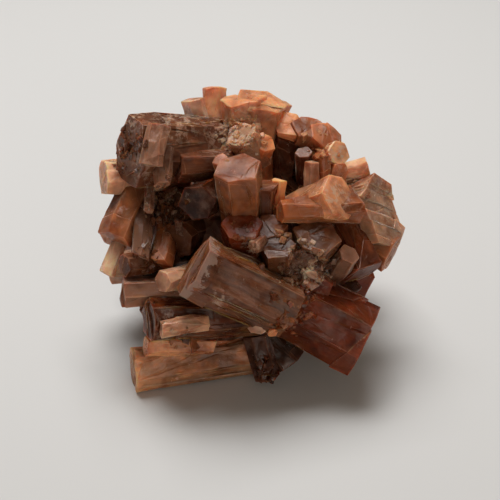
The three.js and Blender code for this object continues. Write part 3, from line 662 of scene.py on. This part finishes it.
def crystal_pieces(c):
    """The convex pieces of one crystal: corners, and whether each is an outer plate."""
    rng = np.random.default_rng(c.seed * 31)
    reach = (c.wide + c.deep) / 4
    breaks = break_planes(c, rng, reach)
    shallow = min(1.0, c.wide / FULL_WIDTH)
    for outline, drop, slope in twin_slabs(c):
        centre = outline.mean(axis=0)
        for layer, layer_drop in laminae(c, outline, drop, rng):
            core = centre + (layer - centre) * CORE_SHARE
            whole = slab_corners(c, layer, layer_drop, slope)
            inner = slab_corners(c, core, layer_drop + CORE_DROP * shallow, slope)
            for through, normal in breaks:
                whole = cut_off(whole, through, normal)
                inner = cut_off(inner, through - normal * CORE_BREAK * shallow, normal)
            yield inner, False
            for _ in range(PLATES):
                plate = whole
                for through, normal in plate_planes(c, rng, reach):
                    plate = cut_off(plate, through, normal)
                yield plate, True


def worn_mesh(corners):
    """The convex body round the corners with worn edges, or nothing if it is too small."""
    corners = apart(corners, RIM_CLOSE)
    if len(corners) < 5:
        return None
    bm = hull_mesh(corners)
    if bm.calc_volume() < SMALLEST:
        bm.free()
        return None
    bmesh.ops.dissolve_limit(bm, angle_limit=FLAT, verts=bm.verts, edges=bm.edges)
    worn = bm.faces.layers.int.new("rim")
    how = {"segments": 1, "profile": 0.5, "affect": "EDGES", "clamp_overlap": True}
    made = bmesh.ops.bevel(bm, geom=bm.edges[:], offset=RIM, **how)
    for face in made["faces"]:
        face[worn] = 1
    bmesh.ops.triangulate(bm, faces=bm.faces)
    if all(edge.is_manifold for edge in bm.edges):
        return bm
    bm.free()
    return hull_mesh(corners)


def heart_mesh():
    """The rough middle that the crystals stand on."""
    corners = []
    for index in range(HEART_CORNERS):
        reach = 1 + stray(index, 7) * HEART_ROUGHNESS
        corners.append(spiral_direction(index, HEART_CORNERS) * HEART_RADII * reach + HEART_CENTRE)
    bm = hull_mesh(corners)
    bmesh.ops.subdivide_edges(bm, edges=bm.edges, cuts=HEART_CUTS, use_grid_fill=True)
    bmesh.ops.triangulate(bm, faces=bm.faces)
    points = np.array([vertex.co[:] for vertex in bm.verts])
    pits = np.zeros(len(points))
    for level, (width, depth) in enumerate(HEART_PITS):
        pits += ripple(points, width, 901 + level) * depth
    outward = (points - HEART_CENTRE) / np.linalg.norm(points - HEART_CENTRE, axis=1)[:, None]
    for vertex, point in zip(bm.verts, points - outward * pits[:, None]):
        vertex.co = point.tolist()
    return bm


# ---------- meshes
def mesh_points(mesh, normals=False):
    """The places of a mesh's points, or the directions that they face."""
    values = np.zeros(len(mesh.vertices) * 3)
    if normals:
        mesh.vertex_normals.foreach_get("vector", values)
    else:
        mesh.vertices.foreach_get("co", values)
    return values.reshape(-1, 3)


def made_mesh(bm, name):
    """The mesh of a closed body, which is used up."""
    bmesh.ops.recalc_face_normals(bm, faces=bm.faces)
    mesh = bpy.data.meshes.new(name)
    bm.to_mesh(mesh)
    bm.free()
    return mesh


def paint(mesh, name, kind, domain, values):
    """Gives a mesh one more attribute."""
    field = {"FLOAT_COLOR": "color", "FLOAT_VECTOR": "vector"}.get(kind, "value")
    mesh.attributes.new(name, kind, domain).data.foreach_set(field, np.ravel(values))


def number_faces(mesh, name, number):
    """Gives every face of a mesh the same number."""
    paint(mesh, name, "INT", "FACE", np.full(len(mesh.polygons), number, dtype=np.int32))


def body_object(name, bm, crystal, body):
    """A body of the front frame in the shared frame, with its crystal's and its own number."""
    mesh = made_mesh(bm, name)
    mesh.vertices.foreach_set("co", to_world(mesh_points(mesh)).ravel())
    if "rim" not in mesh.attributes:
        number_faces(mesh, "rim", 0)
    number_faces(mesh, "crystal", crystal)
    number_faces(mesh, "body", body)
    return bpy.data.objects.new(name, mesh)


def table_block():
    """A block that fills everything below the table."""
    bm = bmesh.new()
    bmesh.ops.create_cube(bm, size=TABLE_SIDE)
    bmesh.ops.translate(bm, verts=bm.verts, vec=(0, 0, -TABLE_SIDE / 2))
    return bpy.data.objects.new("table_block", made_mesh(bm, "table_block"))


def add_boolean(owner, operation):
    """A boolean modifier for closed bodies."""
    made = owner.modifiers.new(operation.lower(), "BOOLEAN")
    made.operation = operation
    made.solver = "MANIFOLD"
    return made


def one_skin(bodies, name):
    """One closed skin round all the bodies, cut off at the table."""
    first = in_scene(bodies[0])
    group = bpy.data.collections.new(name + "_bodies")
    for body in bodies[1:]:
        group.objects.link(body)
    join = add_boolean(first, "UNION")
    join.operand_type = "COLLECTION"
    join.collection = group
    table = in_scene(table_block())
    add_boolean(first, "DIFFERENCE").object = table
    graph = bpy.context.evaluated_depsgraph_get()
    mesh = bpy.data.meshes.new_from_object(first.evaluated_get(graph))
    for body in [*bodies, table]:
        bpy.data.objects.remove(body)
    bpy.data.collections.remove(group)
    return mesh


def finer(mesh):
    """Splits long edges, so that paint on the points can change across a flat face."""
    bm = bmesh.new()
    bm.from_mesh(mesh)
    bmesh.ops.triangulate(bm, faces=bm.faces)
    for _ in range(SPLITS_MOST):
        wide = {face for face in bm.faces if face.calc_area() > LONGEST_EDGE**2 / 4}
        long = [edge for edge in bm.edges if edge.calc_length() > LONGEST_EDGE]
        long = [edge for edge in long if all(face in wide for face in edge.link_faces)]
        if not long:
            break
        bmesh.ops.subdivide_edges(bm, edges=long, cuts=1)
        bmesh.ops.triangulate(bm, faces=bm.faces)
    bm.to_mesh(mesh)
    bm.free()


def unevenness(points):
    """Moves the points a little, so that faces swell and edges wander as on grown stone.

    None of them leaves the CAD model's box, and those on the table stay on it.
    """
    moved = points / MM
    shift = np.zeros(points.shape)
    for level, (width, swing) in enumerate(SWELLS):
        for axis in range(3):
            shift[:, axis] += (ripple(moved, width, 31 + 3 * level + axis) - 0.5) * swing
    shift[:, 2] *= np.clip(moved[:, 2] / SWELLS_FULL, 0, 1)
    inside = (MARGIN, MARGIN, 0)
    return np.clip(points + shift * MM, cad_low + inside, cad_high - inside)


def in_scene(made):
    """The object itself, once it is in the scene."""
    bpy.context.scene.collection.objects.link(made)
    return made


# ---------- what the material reads
def tone_of(c):
    """The crystal's own colour."""
    share = 1 + TONE_SPREAD * 2 * stray(c.seed, 90)
    warm = 1 + WARMTH_SPREAD * 2 * stray(c.seed, 91)
    red, green, blue = TONES[c.tone]
    return red * share, green * share * warm, blue * share * warm * warm


def crystal_tones():
    """The colours of the heart and of every crystal."""
    return np.array([HEART_TONE] + [tone_of(c) for c in crystals])


def face_numbers(mesh, name):
    """The whole number that each face carries."""
    numbers = np.zeros(len(mesh.polygons), dtype=np.int32)
    mesh.attributes[name].data.foreach_get("value", numbers)
    return numbers


def corner_numbers(mesh, name):
    """The whole number that each face carries, once for each of its corners."""
    counts = np.zeros(len(mesh.polygons), dtype=np.int32)
    mesh.polygons.foreach_get("loop_total", counts)
    return np.repeat(face_numbers(mesh, name), counts)


def corner_points(mesh):
    """The place of each corner of each face."""
    vertex = np.zeros(len(mesh.loops), dtype=np.int32)
    mesh.loops.foreach_get("vertex_index", vertex)
    return mesh_points(mesh)[vertex]


def paint_tones(mesh, plates):
    """Gives each corner its crystal's colour, a little different on each piece of it.

    The fourth value of the colour is how plainly it is streaked.
    """
    crystal = corner_numbers(mesh, "crystal")
    body = corner_numbers(mesh, "body")
    plate = np.array(plates)[body]
    rng = np.random.default_rng(77)
    light = rng.uniform(*PIECE_LIGHT, len(plates))[body]
    sheen = rng.uniform(0.0, PLATE_SHARE, len(plates))[body] * plate
    tones = crystal_tones()[crystal]
    tones = tones * (light * np.where(plate, PLATE_LIGHT, CORE_LIGHT))[:, None]
    tones = tones + (np.array(PLATE_TONE) - tones) * sheen[:, None]
    patchy = ripple(corner_points(mesh) / MM, RIM_PATCH, 61)
    worn = corner_numbers(mesh, "rim") * np.clip(patchy * RIM_STEEP - RIM_SPARED, 0, RIM_MOST)
    tones = tones * (1 + worn[:, None] * RIM_LIGHTER)
    tones = tones + (np.array(RIM_TONE) - tones) * worn[:, None] * RIM_SHARE
    plainly = [0.0] + [STREAKED.get(c.tone, STREAKED_LEAST) for c in crystals]
    streaks = np.array(plainly)[crystal]
    paint(mesh, "tone", "FLOAT_COLOR", "CORNER", np.column_stack([tones, streaks]))


def paint_grain(mesh):
    """Gives each corner its place in its crystal: across, over and below the tip."""
    crystal = corner_numbers(mesh, "crystal")
    points = corner_points(mesh) / MM
    frames = np.array([np.eye(3)] + [turned(np.array(axes_of(c))) for c in crystals])
    tips = np.array([HEART_CENTRE] + [c.tip for c in crystals])
    from_tip = points - (settled(tips) - middle)[crystal]
    grain = np.einsum("nij,nj->ni", frames[crystal], from_tip) * (1, 1, -1)
    grain[:, 0] += crystal * GRAIN_SHIFT
    paint(mesh, "grain", "FLOAT_VECTOR", "CORNER", grain)


def paint_sheen_plates(mesh):
    """Marks the sides, but not the ends, of crystals whose tone has lilac plates with a painted
    sheen.
    """
    crystal = face_numbers(mesh, "crystal")
    facing = np.zeros(len(mesh.polygons) * 3)
    mesh.polygons.foreach_get("normal", facing)
    along = np.array([np.zeros(3)] + [turned(c.along)[0] for c in crystals])
    has_sheen_plates = np.array([0.0] + [float(c.tone in SHEEN_PLATED_TONES) for c in crystals])[crystal]
    ends = np.einsum("ij,ij->i", facing.reshape(-1, 3), along[crystal])
    paint(mesh, "sheen_plated", "FLOAT", "FACE", has_sheen_plates * (ends < END_FACING))


def spot(front, centre, radius):
    """How much each place of the face is in a round spot, from 0 to 1."""
    off = np.linalg.norm(front[:, :2] - centre, axis=1)
    return np.clip(SPOT_FADE - off / radius, 0, 1)


def scuff_and_highlight_shares(points):
    """How bruised each point of the face is, and how much painted highlight it has."""
    front = front_place(points)
    shares = np.zeros(len(points))
    for centre, radius, strength in SCUFFS_AND_HIGHLIGHTS:
        shares = np.maximum(shares, spot(front, centre, radius) * strength)
    return shares * (front[:, 2] > SCUFFS_AND_HIGHLIGHTS_BACK)


def sight_tree(mesh):
    """The mesh in the form that sight lines are tested against."""
    faces = [tuple(face.vertices) for face in mesh.polygons]
    return BVHTree.FromPolygons(mesh_points(mesh).tolist(), faces)


def surface_near(points, normals, tree):
    """How much nearby surface each point has on the side of its normal, from 0 to 1.

    Looked for outward this is how shut in a point is, and inward how thin the stone is.
    """
    looks = np.array([spiral_direction(k, SIGHT_LINES) for k in range(SIGHT_LINES)])
    lines = [Vector(look) for look in looks]
    facing = normals @ looks.T
    starts = points + normals * SIGHT_START
    shares = np.zeros(len(points))
    for index, (start, weights) in enumerate(zip(starts.tolist(), facing.tolist())):
        total = 0.0
        shut = 0.0
        for line, weight in zip(lines, weights):
            if weight < SIGHT_LEAST:
                continue
            total += weight
            distance = tree.ray_cast(start, line, SIGHT_REACH)[3]
            if distance is not None:
                shut += weight * (1 - distance / SIGHT_REACH)
        shares[index] = shut / max(total, 1e-6)
    return shares


# ---------- the small crystals
def crust_body(rng, foot, normal, widths):
    """A blocky little crystal, broken askew, that stands on the skin."""
    wide = rng.uniform(*widths) * MM
    along = Vector(normal + rng.normal(size=3) * CRUST_LEAN).normalized()
    roll = Matrix.Rotation(rng.uniform(0, math.pi), 3, "Z")
    turn = along.to_track_quat("Z", "Y").to_matrix() @ roll
    box = np.array([(x, y, z) for x in (-1, 1) for y in (-1, 1) for z in (-1, 1)], dtype=float)
    box += rng.uniform(-CRUST_ASKEW, CRUST_ASKEW, size=box.shape)
    sides = np.array([1.0, rng.uniform(*CRUST_DEPTH), rng.uniform(*CRUST_LENGTH)]) * wide / 2
    sunk = foot - normal * wide * SUNK
    return hull_mesh(sunk + (box * sides) @ np.array(turn).T)


def skin_triangles(skin, crevice):
    """Of each triangle of the skin its middle, facing, size, how shut in it is, and its colour."""
    skin.calc_loop_triangles()
    triangles = skin.loop_triangles
    corners = np.zeros(len(triangles) * 3, dtype=np.int32)
    triangles.foreach_get("vertices", corners)
    corners = corners.reshape(-1, 3)
    shut = crevice[corners].mean(axis=1)
    corners = mesh_points(skin)[corners]
    cross = np.cross(corners[:, 1] - corners[:, 0], corners[:, 2] - corners[:, 0])
    size = np.linalg.norm(cross, axis=1)
    feet = corners.mean(axis=1)
    facing = cross / np.maximum(size, 1e-12)[:, None]
    owner = face_numbers(skin, "crystal")[[triangle.polygon_index for triangle in triangles]]
    # Joining gives the faces in another order each time, so they are put in order of place.
    order = np.lexsort(feet.round(9).T)
    return [values[order] for values in (feet, facing, size, shut, crystal_tones()[owner])]


def crust_spots(skin, crevice, rng):
    """Foot, direction, tone and span of widths of each small crystal."""
    feet, facing, size, shut, host = skin_triangles(skin, crevice)
    size[feet[:, 2] < CRUST_ABOVE * MM] = 0
    deep = size * np.clip((shut - CRUST_FROM) / (1 - CRUST_FROM), 0, 1) ** CRUST_EVEN
    groups = [(deep, CREVICE_COUNT, CREVICE_TONES, CREVICE_WIDTH)]
    front = front_place(feet)
    toward = np.clip((front_place(feet + facing * MM) - front)[:, 2], 0, 1)
    for centre, radius, count, tones in CRUST_PATCHES:
        inside = spot(front, centre, radius) * (front[:, 2] > 0)
        groups.append((size * toward * inside * (CRUST_OPEN + shut), count, tones, PATCH_WIDTH))
    for weight, count, tones, widths in groups:
        for index in rng.choice(len(feet), size=count, replace=False, p=weight / weight.sum()):
            own = np.array(TONES[tones[rng.integers(len(tones))]])
            yield feet[index], facing[index], own + (host[index] - own) * HOST_SHARE, widths


def crust_mesh(skin, crevice):
    """All the small crystals, joined into one closed mesh, each with its own colour."""
    rng = np.random.default_rng(41)
    bodies = []
    tones = []
    for foot, normal, tone, widths in crust_spots(skin, crevice, rng):
        mesh = made_mesh(crust_body(rng, foot, normal, widths), f"grain{len(bodies)}")
        points = mesh_points(mesh)
        if (points < cad_low + GAP).any() or (points > cad_high - GAP).any():
            continue
        number_faces(mesh, "body", len(bodies))
        bodies.append(bpy.data.objects.new(mesh.name, mesh))
        tones.append(tone * rng.uniform(*CRUST_LIGHT))
    crumbs = one_skin(bodies, "crust")
    tones = np.array(tones)[corner_numbers(crumbs, "body")]
    paint(crumbs, "tone", "FLOAT_COLOR", "CORNER", np.column_stack([tones, np.zeros(len(tones))]))
    return crumbs


# ---------- materials
class Nodes:
    """Short ways to add shader nodes to one material."""

    def __init__(self, name):
        self.material = bpy.data.materials.new(name)
        self.material.use_nodes = True
        self.tree = self.material.node_tree
        self.shader = self.tree.nodes["Principled BSDF"]

    def add(self, kind, links=None, **settings):
        """A node with its settings and what its sockets are fed."""
        node = self.tree.nodes.new(kind)
        for name, value in settings.items():
            setattr(node, name, value)
        for socket, source in (links or {}).items():
            self.feed(node.inputs[socket], source)
        return node

    def feed(self, socket, source):
        """Puts a value or another node's output in a socket."""
        if isinstance(source, bpy.types.NodeSocket):
            self.tree.links.new(source, socket)
        else:
            socket.default_value = source

    def attribute(self, name, output):
        """What is painted under that name."""
        return self.add("ShaderNodeAttribute", attribute_name=name).outputs[output]

    def place_mm(self):
        """The place on the object, in millimetres."""
        place = self.add("ShaderNodeTexCoord").outputs["Object"]
        return self.vector_math("MULTIPLY", place, (1 / MM, 1 / MM, 1 / MM))

    def math(self, operation, a, b):
        """One number of two."""
        return self.add("ShaderNodeMath", {0: a, 1: b}, operation=operation).outputs[0]

    def vector_math(self, operation, a, b):
        """One vector or colour of two."""
        return self.add("ShaderNodeVectorMath", {0: a, 1: b}, operation=operation).outputs[0]

    def noise(self, vector, scale, detail, roughness):
        """Noise from 0 to 1."""
        links = {"Vector": vector, "Scale": scale, "Detail": detail, "Roughness": roughness}
        return self.add("ShaderNodeTexNoise", links).outputs["Fac"]

    def span(self, value, low, high, to_low=0.0, to_high=1.0):
        """The value taken from one span to another, and kept inside it."""
        links = {"Value": value, "From Min": low, "From Max": high}
        links.update({"To Min": to_low, "To Max": to_high})
        return self.add("ShaderNodeMapRange", links, clamp=True).outputs["Result"]

    def mix(self, factor, a, b, blend="MIX"):
        """Colour a with as much of colour b as the factor says."""
        node = self.add("ShaderNodeMix", data_type="RGBA", blend_type=blend)
        self.feed(node.inputs["Factor"], factor)
        for socket, colour in ((6, a), (7, b)):
            linked = isinstance(colour, bpy.types.NodeSocket)
            self.feed(node.inputs[socket], colour if linked else (*colour, 1))
        return node.outputs[2]

    def share(self, values, spans):
        """The product of some of the values, each taken from one span to another."""
        product = 1.0
        for name, *span in spans:
            product = self.math("MULTIPLY", product, self.span(values[name], *span))
        return product

    def grey(self, value):
        """A grey of that lightness."""
        links = {"Red": value, "Green": value, "Blue": value}
        return self.add("ShaderNodeCombineColor", links).outputs["Color"]

    def finish(self, colour, roughness):
        """Waxy translucent stone of that colour and roughness."""
        shader = self.shader.inputs
        self.feed(shader["Base Color"], colour)
        self.feed(shader["Roughness"], roughness)
        for name, value in WAXY.items():
            shader[name].default_value = value


def stone_values(nodes, grain):
    """What the stone's colour and relief are made of, by name."""
    place_mm = nodes.place_mm()
    found = {"streaked": nodes.attribute("tone", "Alpha")}
    for name in ("crevice", "thin", "scuff_and_highlight", "sheen_plated"):
        found[name] = nodes.attribute(name, "Fac")
    for name, (shift, *rest) in NOISES.items():
        found[name] = nodes.noise(nodes.vector_math("ADD", place_mm, shift), *rest)
    for name, (stretch, *rest) in GRAIN_NOISES.items():
        found[name] = nodes.noise(nodes.vector_math("MULTIPLY", grain, stretch), *rest)
    found["below"] = nodes.add("ShaderNodeSeparateXYZ", {0: grain}).outputs["Z"]
    raggedness = nodes.span(found["blotch"], 0.3, 0.7, -SHEEN_PLATES_RAGGED, SHEEN_PLATES_RAGGED)
    found["ragged"] = nodes.math("ADD", found["below"], raggedness)
    return found


def streaked_tone(nodes, value):
    """The crystal's own tone with its lengthwise streaks, darker toward the root."""
    thin_lines = nodes.span(value["fine"], 0.3, 0.7, -THIN_LINES, THIN_LINES)
    wide_lines = nodes.span(value["broad"], 0.3, 0.7, -WIDE_LINES, WIDE_LINES)
    lines = nodes.math("MULTIPLY", nodes.math("ADD", thin_lines, wide_lines), value["streaked"])
    streak = nodes.math("ADD", lines, nodes.span(value["below"], *DARKER_BELOW))
    return nodes.mix(1.0, nodes.attribute("tone", "Color"), nodes.grey(streak), "MULTIPLY")


def clouded(nodes, colour, value):
    """The colour with darker clouds, and brighter where light passes through."""
    colour = nodes.mix(nodes.share(value, [CLOUDS]), colour, DEEPER, "MULTIPLY")
    lit = nodes.math("MAXIMUM", nodes.share(value, [GLOW]), nodes.share(value, [THROUGH]))
    return nodes.mix(lit, colour, nodes.vector_math("MULTIPLY", colour, BRIGHTER))


def dullness(nodes, value):
    """Roughness: patchy, and more where the stone is frosted and at a glancing angle."""
    frosted = nodes.math("MULTIPLY", nodes.share(value, FROST), FROST_DULL)
    dull = nodes.math("ADD", nodes.span(value["blotch"], *DULLNESS), frosted)
    facing = nodes.add("ShaderNodeLayerWeight", {"Blend": 0.5}).outputs["Facing"]
    return nodes.math("ADD", dull, nodes.span(facing, *GLANCING))


def relief(nodes, value):
    """The direction that the skin faces, with pits and fine lines along the grain."""
    pits = nodes.math("ADD", value["blotch"], nodes.math("MULTIPLY", value["speck"], 0.3))
    height = nodes.math("ADD", nodes.math("MULTIPLY", value["fine"], 0.35), pits)
    links = {"Height": height, "Distance": RELIEF, "Strength": 1.0}
    return nodes.add("ShaderNodeBump", links).outputs["Normal"]


def aragonite():
    """The stone of the large crystals."""
    nodes = Nodes("aragonite_skin")
    value = stone_values(nodes, nodes.attribute("grain", "Vector"))
    colour = clouded(nodes, streaked_tone(nodes, value), value)
    for cover, *spans in COVERS:
        colour = nodes.mix(nodes.share(value, spans), colour, cover)
    nodes.finish(colour, dullness(nodes, value))
    nodes.feed(nodes.shader.inputs["Normal"], relief(nodes, value))
    return nodes.material


def crust():
    """The stone of the small crystals, speckled, and with painted shade in the hollows."""
    nodes = Nodes("aragonite_crust")
    speck = nodes.noise(nodes.place_mm(), *CRUST_SPECK)
    light = nodes.grey(nodes.span(speck, *CRUST_SPECKLE))
    colour = nodes.mix(1.0, nodes.attribute("tone", "Color"), light, "MULTIPLY")
    hidden = nodes.span(nodes.attribute("crevice", "Fac"), *CRUST_HIDDEN)
    nodes.finish(nodes.mix(hidden, colour, PAINTED_SHADE), nodes.span(speck, *CRUST_DULLNESS))
    return nodes.material


def paper():
    """The floor's matt pale grey."""
    nodes = Nodes("pale_floor")
    nodes.shader.inputs["Base Color"].default_value = (*FLOOR_COLOUR, 1)
    nodes.shader.inputs["Roughness"].default_value = 0.75
    nodes.shader.inputs["Specular IOR Level"].default_value = 0.05
    return nodes.material


# ---------- pieces
def piece(name, mesh, material):
    """A finished piece that takes the place of the CAD cluster."""
    mesh.shade_smooth()
    mesh.set_sharp_from_angle(angle=math.radians(SHARP_ANGLE))
    mesh.materials.clear()
    mesh.materials.append(material)
    made = in_scene(bpy.data.objects.new(name, mesh))
    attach(made, "root")
    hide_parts("crystal_cluster")


def broken_skin():
    """One skin round all the pieces, and which of these are outer plates."""
    bodies = [body_object("heart", heart_mesh(), 0, 0)]
    plates = [False]
    for number, c in enumerate(crystals, start=1):
        for corners, plate in crystal_pieces(c):
            bm = worn_mesh(corners)
            if bm is None:
                continue
            bodies.append(body_object(f"body{len(plates)}", bm, number, len(plates)))
            plates.append(plate)
    skin = one_skin(bodies, "crystals")
    finer(skin)
    return skin, plates


def build_cluster():
    """The crystals and their crust, painted while still flat and then made uneven."""
    skin, plates = broken_skin()
    tree = sight_tree(skin)
    points, normals = mesh_points(skin), mesh_points(skin, normals=True)
    crevice = surface_near(points, normals, tree)
    paint(skin, "crevice", "FLOAT", "POINT", crevice)
    paint(skin, "thin", "FLOAT", "POINT", surface_near(points, -normals, tree))
    paint(skin, "scuff_and_highlight", "FLOAT", "POINT", scuff_and_highlight_shares(points))
    paint_tones(skin, plates)
    paint_grain(skin)
    paint_sheen_plates(skin)
    crumbs = crust_mesh(skin, crevice)
    shut = surface_near(mesh_points(crumbs), mesh_points(crumbs, normals=True), tree)
    paint(crumbs, "crevice", "FLOAT", "POINT", shut)
    for mesh in (skin, crumbs):
        mesh.vertices.foreach_set("co", unevenness(mesh_points(mesh)).ravel())
    piece("crust_of_small_crystals", crumbs, crust())
    piece("crystals", skin, aragonite())


def build_floor():
    """The pale paper that the cluster rests on."""
    mesh = bpy.data.meshes.new("floor")
    corners = [(x * FLOOR_REACH, y * FLOOR_REACH, 0) for x, y in ((-1, -1), (1, -1), (1, 1), (-1, 1))]
    mesh.from_pydata(corners, [], [(0, 1, 2, 3)])
    mesh.materials.append(paper())
    floor = in_scene(bpy.data.objects.new("floor", mesh))
    floor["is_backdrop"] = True


# ---------- light and camera
def area_light(name, at, side, watts, colour):
    """A square soft light that faces the cluster."""
    data = bpy.data.lights.new(name, "AREA")
    data.shape = "SQUARE"
    data.size = side
    data.energy = watts
    data.color = colour
    light = in_scene(bpy.data.objects.new(name, data))
    light.location = at
    light.rotation_euler = (Vector(LIGHTS_AIM) - Vector(at)).to_track_quat("-Z", "Y").to_euler()


def build_light():
    """The two soft lights, and the warm room round them."""
    for light in LIGHTS:
        area_light(*light)
    world = bpy.data.worlds.new("studio")
    world.use_nodes = True
    background = world.node_tree.nodes["Background"].inputs
    background["Color"].default_value = (*ROOM_COLOUR, 1)
    background["Strength"].default_value = ROOM_STRENGTH
    bpy.context.scene.world = world


def build_camera():
    """The camera of the photograph, which looks straight at the face."""
    data = bpy.data.cameras.new("camera")
    data.lens = CAMERA_LENS
    data.sensor_width = CAMERA_SENSOR
    data.clip_start = CAMERA_NEAREST
    camera = in_scene(bpy.data.objects.new("camera", data))
    target = Vector(to_world(np.zeros(3))[0])
    rise = math.radians(FRONT_ELEVATION)
    toward = Vector((0, -math.cos(rise), math.sin(rise)))
    camera.location = target + toward * CAMERA_DISTANCE
    camera.rotation_euler = (-toward).to_track_quat("-Z", "Y").to_euler()
    bpy.context.scene.camera = camera


build_cluster()
build_floor()
build_light()
build_camera()
bpy.context.scene.view_settings.view_transform = "Standard"

low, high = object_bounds()
sizes = {
    "cad": [[float(v) for v in cad_low], [float(v) for v in cad_high]],
    "visual": [[float(v) for v in low], [float(v) for v in high]],
}
